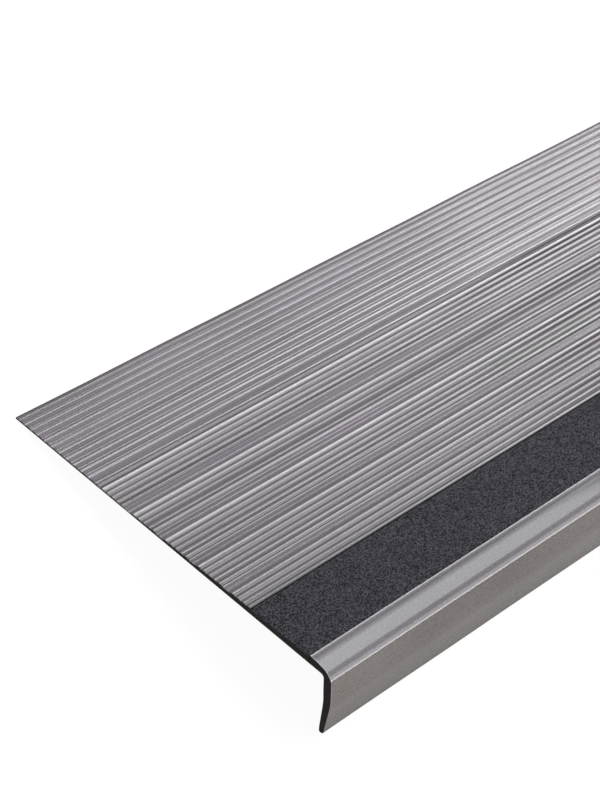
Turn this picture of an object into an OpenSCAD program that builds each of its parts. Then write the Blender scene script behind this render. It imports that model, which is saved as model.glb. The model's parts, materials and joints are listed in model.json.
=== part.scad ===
// Stair tread of flexible vinyl with a square nose lip and a mineral grit strip let into its top.
// The tread is one extruded piece, and the strip lies in a channel behind the nose.
// Section lengths run from the front of the nose to the rear, and heights from the flat underside.

/* [Tread] */
// Length of the tread along the step
tread_length = 914.4; // [300:0.1:1830]
// Depth from the front of the nose to the rear edge
tread_depth = 304.8; // [270:0.1:360]
// Thickness of the crown where it meets the grit strip
crown_t = 6.8; // [5.4:0.1:8]
// Thickness over the ribs, just behind the grit strip
field_t = 5; // [3.6:0.1:6]
// Thickness over the ribs in the thin rear part
rear_t = 1.6; // [1.4:0.1:3]
// Depth over which the sheet tapers, behind the grit strip
taper_depth = 115; // [80:1:150]
// Radius on the top of the rear edge
edge_round = 0.6; // [0.2:0.1:1]

/* [Nose] */
// Depth of the smooth crown in front of the grit strip
crown_depth = 18.1; // [15:0.1:24]
// Radius of the gentle curve of the crown
crown_radius = 42; // [30:1:60]
// Radius of the nose between the crown and the lip
nose_radius = 9; // [6:0.5:11]
// Height of the lip from the top of the crown to its tip
lip_drop = 56; // [48:0.5:65]
// Height from the top of the crown to where the lip starts to curve in
lip_straight = 21; // [18:0.5:26]
// Angle at which the lower part of the lip leans in under the nose
lip_lean = 11.3; // [10:0.1:14]
// Radius of the bend from the straight part to the leaning part
lean_radius = 60; // [40:1:80]
// Thickness of the lip in its straight part
lip_t = 6.5; // [5:0.1:8]
// Thickness of the lip just above its tip
tip_t = 4.2; // [4:0.1:6]
// Radius on the outer side of the tip, and the rest of its thickness is the radius on the inner side
tip_radius = 3; // [2:0.1:3.6]
// Radius in the corner between the underside and the lip
corner_radius = 2.5; // [1:0.1:4]

/* [Grit strip] */
// Width of the grit strip
strip_w = 50.8; // [38:0.1:60]
// Thickness of the grit strip
strip_t = 1.2; // [0.8:0.1:1.4]
// Depth of the channel that the strip lies in
channel_depth = 1.6; // [1.5:0.1:2.2]
// Clearance on each side of the strip
strip_gap = 0.5; // [0.1:0.05:0.8]
// Bevel on the upper edges of the strip
strip_bevel = 0.2; // [0.1:0.05:0.4]
// Width of the fine bead along the front edge of the channel
bead_w = 1.2; // [0.8:0.1:2]
// Height of that bead
bead_h = 0.25; // [0.1:0.05:0.5]

/* [Grouped ribs] */
// Distance from one group of ribs to the next
group_pitch = 31.4; // [28:0.1:36]
// Distance from rib to rib in a group
rib_pitch = 4.9; // [4:0.1:5.5]
// Ribs in each full group
group_ribs = 5; // [3:1:5]
// Ribs in the front group, next to the strip
front_group_ribs = 4; // [2:1:5]
// Distance from the strip's channel to the crest of the first rib
front_flank = 1.8; // [1:0.1:2.2]
// Where the crest lies across a rib, as a share of the way from its front to its rear
crest_at = 0.58; // [0.55:0.01:0.65]
// How broad the ribs are on top, where 1 is a sharp ridge
rib_power = 2; // [1.4:0.1:3]
// Depth of the flat bands between the groups, below the lead ribs
band_depth = 0.85; // [0.5:0.05:1]
// How far the other ribs stay below the lead rib
rib_step = 0.12; // [0:0.02:0.2]
// Depth of the groove next to the lead rib
first_groove = 0.7; // [0.4:0.05:0.9]
// How much shallower each further groove is
groove_fade = 0.09; // [0:0.01:0.12]
// Height of the low swelling in each flat band
swell_h = 0.05; // [0.02:0.01:0.1]
// Width of that swelling
swell_w = 3.4; // [2:0.1:3.8]
// Distance from the lead rib of the group in front to the swelling of the band
swell_at = 3; // [2.6:0.1:3.6]

/* [Rear ribs] */
// Least depth of the rear zone of wide ribs
rear_zone = 88; // [60:1:110]
// Width of the wide ribs
wide_pitch = 7.8; // [6.6:0.1:10]
// Width of the narrower ribs along the rear edge
edge_pitch = 6.8; // [6:0.1:8]
// Number of those narrower ribs
edge_ribs = 3; // [1:1:5]
// Plain margin behind the last groove
edge_margin = 4.9; // [4.5:0.1:6]
// Depth of the grooves between the wide ribs
wide_groove = 0.26; // [0.15:0.01:0.4]
// Width of each slope of such a groove
groove_half = 3; // [2.4:0.1:3.2]
// Height of the step on top of each wide rib
top_step = 0.08; // [0.02:0.01:0.1]
// Width of that step
top_step_w = 1.1; // [0.8:0.1:1.3]

/* [Hidden] */

vinyl_grey = [0.55, 0.54, 0.55];
grit_black = [0.17, 0.17, 0.18];

// Angle between two points of a curve
curve_step = 6;

// Where things begin along the depth
channel_w = strip_w + 2 * strip_gap;
field_front = crown_depth + channel_w;
taper_end = field_front + taper_depth;
lead_0 = field_front + front_flank + (front_group_ribs - 1) * rib_pitch;
group_room = tread_depth - rear_zone - lead_0 - (1 - crest_at) * rib_pitch;
group_count = 1 + floor(group_room / group_pitch);
zone_start = lead_0 + (group_count - 1) * group_pitch + 1.25 * rib_pitch;

// Height between two points of a straight line
function between(y, a, b) = a[1] + (b[1] - a[1]) * (y - a[0]) / (b[0] - a[0]);

// Thickness over the ribs at a depth behind the nose
function over_ribs(y) =
    y < field_front ? between(y, [crown_depth, crown_t], [field_front, field_t]) :
    y < taper_end ? between(y, [field_front, field_t], [taper_end, rear_t]) :
    rear_t;

// A point that lies a given relief below the line over the ribs
function below_ribs(y, relief) = [y, over_ribs(y) - relief];

// Points of an arc, with the angle counted from the +Y direction of the section
function arc(centre, radius, from, to) =
    let (steps = ceil(abs(to - from) / curve_step))
    [for (i = [0 : steps])
        let (a = from + (to - from) * i / steps)
        centre + radius * [cos(a), sin(a)]];

// All points of a list but the first
function after_first(points) = [for (i = [1 : len(points) - 1]) points[i]];

// The lip: its outer face leans in below the straight part, and it thins towards the tip
bend_height = lean_radius * sin(lip_lean);
bend_inset = lean_radius * (1 - cos(lip_lean));
tip_level = lip_drop - tip_radius;

// Inset of the outer face, by the distance below the top of the crown
function outer_inset(d) =
    let (below = d - lip_straight)
    below <= 0 ? 0 :
    below < bend_height ? lean_radius - sqrt(pow(lean_radius, 2) - pow(below, 2)) :
    bend_inset + (below - bend_height) * tan(lip_lean);

// Thickness of the lip at that distance
function lip_thickness(d) =
    d <= lip_straight ? lip_t : lip_t + (tip_t - lip_t) * (d - lip_straight) / (tip_level - lip_straight);

// Distances at which the two faces of the lip get a point, down to where the tip starts
bend_steps = 5;
lip_levels = [for (i = [0 : bend_steps]) lip_straight + bend_height * i / bend_steps];

lip_outer = [for (i = [bend_steps : -1 : 0])
    [outer_inset(lip_levels[i]), crown_t - lip_levels[i]]];
lip_inner = [for (d = concat(lip_levels, [tip_level]))
    [outer_inset(d) + lip_thickness(d), crown_t - d]];

// The tip: a tight round on its inner side, and a wide one on its outer side
inner_radius = tip_t - tip_radius;
tip_middle = outer_inset(tip_level) + tip_radius;
tip_bottom = crown_t - lip_drop;
tip = concat(
    arc([tip_middle, tip_bottom + inner_radius], inner_radius, 0, -90),
    after_first(arc([tip_middle, tip_bottom + tip_radius], tip_radius, -90, -180)));

// The nose arc meets the front of the lip and the crown arc without a corner
crown_sweep = asin((crown_depth - nose_radius) / (crown_radius - nose_radius));
nose_centre = [nose_radius, crown_t - crown_radius + (crown_radius - nose_radius) * cos(crown_sweep)];
nose = arc(nose_centre, nose_radius, 180, 90 + crown_sweep);
crown_centre = [crown_depth, crown_t - crown_radius];
bead_sweep = asin(bead_w / crown_radius);
crown = after_first(arc(crown_centre, crown_radius, 90 + crown_sweep, 90 + bead_sweep));

// Fine bead on the edge of the crown, round on top and steep on its sides
bead = [for (t = [0.12, 0.3, 0.5, 0.7, 0.88])
    [crown_depth - bead_w * (1 - t), crown_t + bead_h * (1 - pow(2 * t - 1, 4))]];

// Channel for the strip, parallel to the line over the ribs
channel = [
    [crown_depth, crown_t],
    below_ribs(crown_depth, channel_depth),
    below_ribs(field_front, channel_depth)];

// One rounded rib between two valleys, with its rear side shorter and steeper than its front.
// Its front part can be cut off, up to a share of its width
rib_samples = [0.14, 0.34, crest_at, 0.76, 0.89];
function rib(from, width, front_valley, crest, rear_valley, cut = 0) =
    [for (t = concat([cut], [for (s = rib_samples) if (s > cut + 0.05) s]))
        let (
            valley = t < crest_at ? front_valley : rear_valley,
            away = t < crest_at ? 1 - t / crest_at : (t - crest_at) / (1 - crest_at))
        below_ribs(from + width * t, crest + (valley - crest) * pow(away, rib_power))];

// A group of ribs, with its lead rib at the rear and the valleys deeper towards it
function group(lead, count, front_cut = 0) =
    [for (i = [count - 1 : -1 : 0])
        let (
            crest = i == 0 ? 0 : rib_step,
            front = i == count - 1 ? band_depth : first_groove - i * groove_fade,
            rear = i == 0 ? band_depth : first_groove - (i - 1) * groove_fade)
        each rib(lead - (i + crest_at) * rib_pitch, rib_pitch, front, crest, rear,
            i == count - 1 ? front_cut : 0)];

// The flat band behind a group, with its low swelling
function band(lead) = concat(
    [below_ribs(lead + (1 - crest_at) * rib_pitch, band_depth)],
    [for (t = [0 : 0.25 : 1])
        below_ribs(lead + swell_at + swell_w * t, band_depth - swell_h * pow(sin(180 * t), 2))]);

// The low ridge between the last group and the wide ribs
function low_ridge(lead) = [
    below_ribs(lead + (1 - crest_at) * rib_pitch, band_depth),
    below_ribs(lead + 0.55 * rib_pitch, 0.88 * band_depth),
    below_ribs(lead + 0.82 * rib_pitch, 0.45 * band_depth),
    below_ribs(lead + 1.08 * rib_pitch, 0.52 * band_depth)];

// The channel cuts off the front flank of the first rib
front_cut = crest_at - front_flank / rib_pitch;
grouped_ribs = [for (g = [0 : group_count - 1])
    let (lead = lead_0 + g * group_pitch)
    each concat(
        g == 0 ? group(lead, front_group_ribs, front_cut) : group(lead, group_ribs),
        g < group_count - 1 ? band(lead) : low_ridge(lead))];

// A smooth fall from 1 to 0 as the way goes from 0 to 1, and even before and after
function fall(way) = 0.5 + 0.5 * cos(180 * min(1, max(0, way)));

// A wide rib, which goes up from the groove in front to a shelf, up a fine step to the crest
// and down to the next groove
function wide_rib(from, width) =
    let (half = min(groove_half, 0.42 * width), crest = width - half)
    [for (at = [
        0, 0.25 * half, 0.5 * half, 0.75 * half, crest - top_step_w, crest - top_step_w / 2, crest,
        crest + 0.3 * half, crest + 0.5 * half, crest + 0.75 * half])
        below_ribs(from + at,
            wide_groove * fall(at / half) + top_step * fall((at - crest) / top_step_w + 1)
            + (wide_groove + top_step) * (1 - fall((at - crest) / half)))];

last_groove = tread_depth - edge_margin;
wide_room = last_groove - edge_ribs * edge_pitch - zone_start;
wide_count = max(0, floor(wide_room / wide_pitch - 0.8));
first_width = wide_room - wide_count * wide_pitch;
wide_widths = concat(
    [first_width],
    [for (i = [0 : 1 : wide_count - 1]) wide_pitch],
    [for (i = [0 : 1 : edge_ribs - 1]) edge_pitch]);

// Sum of the first few widths
function sum_to(list, n, i = 0) = i < n ? list[i] + sum_to(list, n, i + 1) : 0;

rear_ribs = [for (i = [0 : len(wide_widths) - 1])
    each wide_rib(zone_start + sum_to(wide_widths, i), wide_widths[i])];

// The rear edge, from the last groove to the underside
rear_edge = concat(
    [for (t = [0, 0.25, 0.5, 0.75, 1])
        below_ribs(last_groove + groove_half * t, top_step + wide_groove * fall(t))],
    [below_ribs(tread_depth - edge_round - 0.2, 0)],
    arc([tread_depth - edge_round, rear_t - edge_round], edge_round, 90, 0),
    [[tread_depth, 0]]);

// Corner between the underside and the lip
corner_centre = [lip_t + corner_radius, -corner_radius];
corner = arc(corner_centre, corner_radius, 90, 180);

// The whole outline, up the front of the lip, over the top and back along the underside
tread_section = concat(
    lip_outer, nose, crown, bead, channel, grouped_ribs, rear_ribs, rear_edge, corner, lip_inner, tip);

// The strip lies on the floor of the channel
strip_front = crown_depth + strip_gap;
strip_back = strip_front + strip_w;
strip_floor = channel_depth;
strip_top = channel_depth - strip_t;
strip_section = [
    below_ribs(strip_front, strip_floor),
    below_ribs(strip_front, strip_top + strip_bevel),
    below_ribs(strip_front + strip_bevel, strip_top),
    below_ribs(strip_back - strip_bevel, strip_top),
    below_ribs(strip_back, strip_top + strip_bevel),
    below_ribs(strip_back, strip_floor)];

// Unheld on a level floor the tread rests on the tip of its lip and on its rear edge
rest_tilt = max([for (p = tip) atan2(-p[1], tread_depth - p[0])]);

// Where the points of the section come to lie at rest
rest_depths = [for (p = tread_section) p[0] * cos(rest_tilt) + p[1] * sin(rest_tilt)];
rest_middle = (min(rest_depths) + max(rest_depths)) / 2;
rest_floor = -tread_depth * sin(rest_tilt);

// Carries a section along the length and lays it down as it rests, centred on the origin
module run_at_rest(section) {
    translate([0, -rest_middle, -rest_floor])
        rotate([-rest_tilt, 0, 0])
            rotate([90, 0, 90])
                linear_extrude(tread_length, center = true)
                    polygon(section);
}

module vinyl_tread() {
    color(vinyl_grey)
        run_at_rest(tread_section);
}

module grit_strip() {
    color(grit_black)
        run_at_rest(strip_section);
}

vinyl_tread();
grit_strip();
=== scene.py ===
import json
import math

import bpy
import numpy as np
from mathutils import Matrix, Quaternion, Vector


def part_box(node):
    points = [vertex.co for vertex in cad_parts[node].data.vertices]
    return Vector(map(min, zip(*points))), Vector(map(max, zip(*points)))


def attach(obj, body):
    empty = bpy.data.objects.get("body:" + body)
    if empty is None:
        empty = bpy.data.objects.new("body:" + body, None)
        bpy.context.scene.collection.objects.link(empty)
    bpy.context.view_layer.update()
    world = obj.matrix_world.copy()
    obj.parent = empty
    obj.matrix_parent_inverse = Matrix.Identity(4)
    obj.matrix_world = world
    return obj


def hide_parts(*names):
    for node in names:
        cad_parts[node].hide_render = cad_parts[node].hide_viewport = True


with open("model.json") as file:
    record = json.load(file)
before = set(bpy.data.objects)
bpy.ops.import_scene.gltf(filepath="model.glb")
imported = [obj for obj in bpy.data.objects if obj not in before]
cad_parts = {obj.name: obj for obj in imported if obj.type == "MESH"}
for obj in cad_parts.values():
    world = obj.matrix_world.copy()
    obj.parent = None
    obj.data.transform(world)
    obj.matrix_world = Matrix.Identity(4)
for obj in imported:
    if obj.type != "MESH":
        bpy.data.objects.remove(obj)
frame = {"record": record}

# The looks of a flexible vinyl stair tread: its ribbed sheet with the crown and the square lip, and the
# grit strip that lies behind the crown. Both are surfaces worked out from one section and carried along
# the length.

bl_info = {
    "name": "Stair tread",
    "version": (1, 0, 0),
    "blender": (4, 5, 0),
    "location": "3D View > Sidebar > Stair tread",
    "description": "Builds a ribbed vinyl stair tread with a square nose and a grit strip",
    "category": "Add Mesh",
}

MM = 0.001
BODY = "root"

# What the sheet's surface may be at a point, from nought to one each: how much painted highlight (crest)
# and painted shade (groove) its colour gets, how much of a dull band it is, and how much of the ribbed field
KINDS = ("crest", "groove", "band", "ribbed")
PAINTED_HIGHLIGHT, PAINTED_SHADE, BAND, RIBBED = range(4)

# Slots of the sheet's materials
SATIN, BACK, CUT, MATT = range(4)

# How finely the section is drawn, in steps from point to point
TIP_STEPS = 10
LIP_STEPS = 25
NOSE_STEPS = 40
CROWN_STEPS = 18
BEAD_STEPS = 9
FLOOR_STEPS = 7
RIB_FRONT_STEPS = 11
RIB_REAR_STEPS = 6
WIDE_STEPS = 9
TOP_STEPS = 6
BAND_STEPS = 8
MARGIN_STEPS = 5
EDGE_STEPS = 5

# Steps along the length, and the number of outlines that round the rim of each cut end
LENGTH_STEPS = 37
RIM_OUTLINES = 4

# Rows of points across each cut end, as shares of the way through, and how much of the core they show
CORE_ROWS = (0.12, 0.5, 0.88)
CORE_SHADES = (0.25, 1, 0.25)

# Slow waves of the flexible sheet: the share of each, its radians a metre and its phase
REAR_WAVES = ((0.5, 40.5, 4.15),)
LIP_WAVES = ((0.35, 9.67, 4.42), (0.15, 48.3, 1.4308))

# Arcs round the tip on the outer and the inner side, in degrees from the rear
OUTER_TIP = (-96, -180)
INNER_TIP = (-80, 0)

# The grit: the seed of its grains, the share of each of four neighbours, and the cells of its material
GRIT_SEED = 7
NEIGHBOUR_SHARE = 0.2
CELLS_PER_GRAIN = (1.2, 2.2)

# Most values of Blender's noise lie in this range
NOISE_RANGE = (0.3, 0.7)

# Painted highlight on the crests of a group: the front group's, the gain from group to group and the most
FRONT_HIGHLIGHT = 0.4
HIGHLIGHT_GAIN = 0.3
MOST_HIGHLIGHT = 1.3

# Shares of that: a lead rib's, the last lead rib's and the first rib's of a group
LEAD_HIGHLIGHT = 0.8
LAST_LEAD_HIGHLIGHT = 0.85
FIRST_RIB_HIGHLIGHT = 0.4

# Painted highlight on other places, and the least of it that counts as a crest at the cut
LEAST_HIGHLIGHT = 0.02
RIDGE_HIGHLIGHT = 0.3
WIDE_HIGHLIGHT = 0.05
WIDE_SLOPE_HIGHLIGHT = 0.1
SMOOTH_PAINTED_LIGHT = 0.05
LIP_PAINTED_LIGHT = 0.1
BEAD_HIGHLIGHT = 0.4
RIM_HIGHLIGHT = 0.5

# How much painted shade darkens the low places, the rear edge, the bead's foot and the lower lip
VALLEY_SHADE = 0.85
FIRST_VALLEY_SHADE = 0.5
BAND_SHADE = 0.5
RIDGE_SHADE = 0.3
EDGE_SHADE = 0.9
FOOT_SHADE = 0.15
TIP_SHADE = 0.4

# Shares of the way down the lip between which it turns dull
DULL_LIP = (1 / 24, 1 / 8)

# How near a point of the ribbed field may not come to the edge of the channel
TOO_NEAR = 0.1 * MM

# Where the wide ribs start, in rib pitches behind the last lead rib, and the most that a side of one takes
WIDE_START = 1.25
MOST_SIDE = 0.42

# The first wide rib: its least width as a share of the others', the size of its sides and of its step
FIRST_WIDE_LEAST = 0.8
FIRST_WIDE_SIDE = 0.6
FIRST_WIDE_STEP = 0.3

# The margin: the slope out of the last groove in half grooves, and the part that falls off in margins
MARGIN_SLOPE = 0.6
MARGIN_FALL = (0.45, 0.9)

# Reach of the painted shade behind the strip in front flanks; middle and reach of the bead's top with its
# painted highlight and of the foot in front of it with its painted shade, in bead widths before the strip
STRIP_SHADE = 0.65
BEAD_TOP = (0.5, 0.4)
BEAD_FOOT = (1.9, 1.1)

# The long lamps: the angles that each spans as seen along the tread, in degrees from the rear, its reach
# along the tread in metres, its radiance and its tint
WHITE = (1.0, 1.0, 1.0)
LAMPS = {
    "rear_softbox": (33, 38.7, 2.9, 3.3, 5.6, WHITE),
    "rear_softbox_far": (33, 38.7, 3.3, 4.8, 5.8, WHITE),
    "strip_light_near": (44.5, 51.5, -0.6, 1.9, 7.0, WHITE),
    "strip_light_middle": (44.5, 51.5, 1.9, 2.5, 8.7, WHITE),
    "strip_light_far": (44.5, 51.5, 2.5, 4.8, 10.2, WHITE),
    "top_softbox": (64, 115, 0.6, 3.05, 5.0, (0.98, 0.99, 1.0)),
    "ramp_softbox": (59, 64, 0.6, 3.05, 2.2, WHITE),
    "nose_softbox": (115, 150, 0.6, 4.8, 1.0, WHITE),
    "front_softbox": (150, 168, 0.6, 4.8, 3.7, (1.0, 0.98, 1.0)),
    "low_softbox": (168, 179.8, 0.6, 4.8, 9.8, (1.0, 0.96, 0.92)),
}
LAMP_DISTANCE = 4.0

# The floor: its side in metres, its two greys, and how white it shows
FLOOR_SIDE = 16.0
FLOOR_GREYS = (0.07, 0.08)
FLOOR_GLOW = 0.95

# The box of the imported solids, before any piece is added
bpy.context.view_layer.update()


# Kinds of properties

def number(name, description, value, **options):
    """A plain number, or one of the kind that the options say."""
    return bpy.props.FloatProperty(name=name, description=description, default=value, **options)


def length(name, description, millimetres):
    """A length, with its default given in millimetres."""
    return number(name, description, millimetres * MM, min=0, precision=5, unit="LENGTH")


def angle(name, description, degrees):
    """An angle, with its default given in degrees."""
    return number(name, description, math.radians(degrees), subtype="ANGLE")


def share(name, description, value):
    """A share between none and all."""
    return number(name, description, value, min=0, max=1, subtype="FACTOR")


def count(name, description, value):
    """A number of like things."""
    return bpy.props.IntProperty(name=name, description=description, default=value, min=1)


def colour(name, description, value):
    """A colour, in linear red, green and blue."""
    return bpy.props.FloatVectorProperty(
        name=name, description=description, default=value, size=3, min=0, max=1, subtype="COLOR")


class SheetSizes(bpy.types.PropertyGroup):
    """Sizes of the sheet, its crown and its lip"""

    depth: length("Depth", "From the front of the nose to the rear edge", 304.8)
    crown_t: length("Crown thickness", "Where the crown meets the grit strip", 6.8)
    field_t: length("Front thickness", "Over the ribs, just behind the grit strip", 5)
    rear_t: length("Rear thickness", "Over the ribs in the thin rear part", 1.6)
    taper_depth: length("Taper", "Depth over which the sheet tapers", 115)
    edge_round: length("Rear edge round", "Radius on the top of the rear edge", 0.6)
    crown_depth: length("Crown depth", "Depth of the smooth crown", 18.1)
    crown_radius: length("Crown radius", "Radius of the gentle curve of the crown", 42)
    nose_radius: length("Nose radius", "Radius between the crown and the lip", 9)
    nose_swell: length("Nose swelling", "Height of the low swelling on the lower half of the nose", 0.18)
    swell_from: number("Swelling from", "Degrees from level at which that swelling starts", 59)
    swell_top: number("Swelling top", "Degrees from level at which it is highest", 77)
    matt_from: number("Matt from", "Degrees from level at which the nose turns matt", 75)
    lip_drop: length("Lip height", "From the top of the crown to the tip", 56)
    lip_straight: length("Straight lip", "From the top of the crown to where the lip curves in", 21)
    lip_lean: angle("Lean", "Angle at which the lower lip leans in", 11.3)
    lean_radius: length("Lean radius", "Radius of the bend in the lip", 60)
    lip_t: length("Lip thickness", "In the straight part of the lip", 6.5)
    tip_t: length("Tip thickness", "Just above the tip", 4.2)
    tip_radius: length("Tip radius", "On the outer side of the tip", 3)
    corner_radius: length("Corner radius", "Between the underside and the lip", 2.5)
    rim: length("Rim", "Radius on the rims of the cut ends", 0.15)
    # This width is the line of painted highlight and painted shade along each cut end
    painted_rim: length("Worn rim", "Width of the worn line along the cut ends", 0.9)
    inset: length("Inset", "How far the dressed surface stays within the solid", 0.022)
    rear_wave: length("Rear wave", "How far the thin rear edge lifts in slow waves", 0.4)
    lip_wave: length("Lip wave", "How far the tip of the lip stands forward in slow waves", 0.58)


class StripSizes(bpy.types.PropertyGroup):
    """Sizes of the grit strip and its channel"""

    width: length("Width", "Width of the grit strip", 50.8)
    thickness: length("Thickness", "Thickness of the grit strip", 1.2)
    channel_depth: length("Channel depth", "Depth of the channel that the strip lies in", 1.6)
    gap: length("Clearance", "On each side of the strip", 0.5)
    bevel: length("Bevel", "On the upper edges of the strip", 0.2)
    bead_w: length("Bead width", "Width of the fine bead along the crown", 1.2)
    bead_h: length("Bead height", "Height of that bead", 0.25)
    grain: length("Grain", "Distance from grain to grain on the strip", 0.8)
    grain_h: length("Grain height", "How far the grains rise and fall", 0.2)


class RibSizes(bpy.types.PropertyGroup):
    """Sizes of the ribs, the bands and the grooves"""

    group_pitch: length("Group pitch", "From one group of ribs to the next", 31.4)
    pitch: length("Rib pitch", "From rib to rib in a group", 4.9)
    per_group: count("Ribs", "Ribs in each full group", 5)
    in_front: count("Front ribs", "Ribs in the front group", 4)
    front_flank: length("Front flank", "From the channel to the crest of the first rib", 1.8)
    band_depth: length("Band depth", "Depth of the flat bands below the lead ribs", 0.85)
    step: length("Rib step", "How far the other ribs stay below the lead rib", 0.12)
    first_groove: length("First groove", "Depth of the groove next to the lead rib", 0.7)
    fade: length("Groove fade", "How much shallower each further groove is", 0.09)
    swell_h: length("Swelling height", "Height of the low swelling in the first band", 0.04)
    swell_gain: length("Swelling gain", "How much higher it is in each further band", 0.02)
    swell_w: length("Swelling width", "Width of that swelling", 3.4)
    swell_at: length("Swelling place", "From the lead rib in front to the swelling", 3.8)
    low_ridge: length("Low ridge", "Height of the ridge along the rear edge of the first band", 0.22)
    low_ridge_w: length("Low ridge width", "Width of that ridge", 1.6)
    low_ridge_at: share("Low ridge place", "How much of it lies in front of the next group", 0.69)
    ridge_fade: share("Ridge fade", "How much of its height the second band's ridge has", 0.7)
    rear_zone: length("Rear zone", "Least depth of the zone of wide ribs", 88)
    wide_pitch: length("Wide pitch", "Width of the wide ribs", 7.8)
    edge_pitch: length("Edge pitch", "Width of the ribs along the rear edge", 6.8)
    edge_ribs: count("Edge ribs", "Number of those ribs", 3)
    margin: length("Rear margin", "Plain margin behind the last groove", 4.9)
    edge_fall: length("Edge fall", "How far the margin falls off to the rear edge", 0.12)
    wide_groove: length("Wide groove", "Depth of the grooves between the wide ribs", 0.22)
    groove_half: length("Half groove", "Half the width of such a groove", 3)
    top_step: length("Top step", "Height of the step on top of each wide rib", 0.08)
    top_step_w: length("Top step width", "Width of that step", 1.1)
    crest_at: share("Crest place", "Where the crest lies across a rib, from its front to its rear", 0.58)
    slant: share("Slant", "How much of a lead rib's depth is a straight slant", 0.24)
    bow: share("Bow", "How much of that depth is evenly rounded", 0.21)
    first_slant: share("First slant", "The slant of the first rib of a group", 0.06)
    first_bow: share("First bow", "The bow of that rib", 0.6)
    last_slant: share("Last slant", "The slant of the rib next to the last lead rib", 0.144)
    last_bow: share("Last bow", "The bow of the ribs in the last group", 0.8)
    other_bow: share("Other bow", "The bow of all other ribs, which have no slant", 0.95)


class Finish(bpy.types.PropertyGroup):
    """Colours and gloss of the surfaces"""

    vinyl: colour("Vinyl", "Satin grey of the upper side", (0.116, 0.097, 0.119))
    vinyl_cool: colour("Cool vinyl", "The cooler grey that it drifts to in places", (0.104, 0.098, 0.109))
    crown: colour("Crown", "Satin grey of the smooth crown", (0.094, 0.088, 0.100))
    lip: colour("Lip", "Warmer grey of the matt lip", (0.172, 0.154, 0.144))
    # The next two are painted light: a painted highlight along the crests, and painted shade in the grooves
    # and other low places
    vinyl_highlight: colour("Worn crests", "The same grey, rubbed lighter along the crests", (0.60, 0.56, 0.60))
    vinyl_shade: colour("Vinyl in grooves", "The same grey, darker in the grooves", (0.023, 0.019, 0.019))
    vinyl_back: colour("Underside", "Dull grey of the underside", (0.085, 0.082, 0.084))
    # The cut ends are painted near black, as painted shade, a little lighter in the middle
    cut: colour("Cut ends", "Dark grey of the cut ends", (0.003, 0.003, 0.003))
    cut_core: colour("Core of the cut ends", "Lighter grey in the middle of the cut", (0.011, 0.011, 0.010))
    gloss: share("Roughness", "Roughness of the satin side", 0.11)
    satin_specular: share("Satin reflection", "Specular level of the satin side", 0.5)
    matt_specular: share("Matt reflection", "Specular level of the matt lip and the cut ends", 0.12)
    grit: colour("Grit", "Black mineral grains", (0.002, 0.002, 0.004))
    grit_light: colour("Pale grains", "The paler grains among them", (0.092, 0.089, 0.106))


class StageSettings(bpy.types.PropertyGroup):
    """Camera and lamps"""

    lens: number("Lens", "Focal length in millimetres", 86.0)
    azimuth: angle("Azimuth", "Side that the camera stands on", -48.3524)
    elevation: angle("Elevation", "Height of the camera above the horizon", 45.7058)
    roll: angle("Roll", "Turn of the camera about its own axis", 9.9424)
    distance: length("Distance", "From the camera to the point that it looks at", 1258.44)
    aim_from_end: length("Aim along", "From the near cut end to the point looked at", 150.68)
    aim_depth: length("Aim behind", "From the nose to the point looked at", 195.74)
    aim_height: length("Aim over", "From the underside to the point looked at", 3)
    fill: share("Fill", "Level of the even light from all sides", 0.3)


# Places in the row's frame

def mount(name):
    """The place and the outward axis of one of the record's mounts."""
    found = next(m for m in frame["record"]["mounts"] if m["name"] == name)
    return np.array(found["pos_m"], float), np.array(found["axis"], float)


def section_axes(sheet):
    """Origin and axes of the section as the tread rests: towards the rear, and up from the underside.

    The underside's mount faces down and lies at height nought, and the lip's mount faces the rear and lies a
    lip's thickness behind the front, so the two planes meet on the line that the origin is measured from."""
    under, down = mount("underside")
    lip, back = mount("lip_back")
    origin = back * (lip @ back - sheet.lip_t) - down * (under @ -down)
    return origin, back, -down


def slow_wave(x, parts):
    """A height between nought and one along the length: a half, less cosine waves, each times its share."""
    return 0.5 - sum(part * np.cos(x * pace + phase) for part, pace, phase in parts)


def lay_down(sheet, x, depth, height):
    """Points in the row's frame for places along the length, behind the nose and above the underside.

    Slow waves bend the flexible sheet a little. The rear edge lifts, with the square of the way from the
    middle, and the tip stands forward, with the seventh power of the way down the lip. The rear edge rises
    straight up and the tip moves level, so both stay within the straight tread's box."""
    origin, back, up = section_axes(sheet)
    x, depth, height = np.broadcast_arrays(x, depth, height)
    slope = -back[2] / up[2]
    to_rear = np.clip(depth / sheet.depth * 2 - 1, 0, 1) ** 2
    to_tip = np.clip((sheet.crown_t - height) / sheet.lip_drop, 0, 1) ** 7
    lift = sheet.rear_wave * to_rear * slow_wave(x, REAR_WAVES)
    forward = sheet.lip_wave * to_tip * slow_wave(x, LIP_WAVES)
    depth = depth - forward - slope * lift
    height = height + lift - slope * forward
    points = origin + depth[..., None] * back + height[..., None] * up
    points[..., 0] = x
    return points


# The section of the sheet

def arc(centre, radius, start, end, steps):
    """Points on a circle, from one angle to another in equal steps, in degrees from the rear."""
    turns = np.radians(np.linspace(start, end, steps + 1))
    return np.column_stack([centre[0] + radius * np.cos(turns), centre[1] + radius * np.sin(turns)])


def field_front(sheet, strip):
    """Depth at which the channel ends and the ribbed field starts."""
    return sheet.crown_depth + strip.width + 2 * strip.gap


def over_ribs(sheet, strip, depth):
    """Height over the ribs: straight across the strip, then tapering, then even."""
    front = field_front(sheet, strip)
    return np.interp(
        depth, [sheet.crown_depth, front, front + sheet.taper_depth],
        [sheet.crown_t, sheet.field_t, sheet.rear_t])


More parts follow.
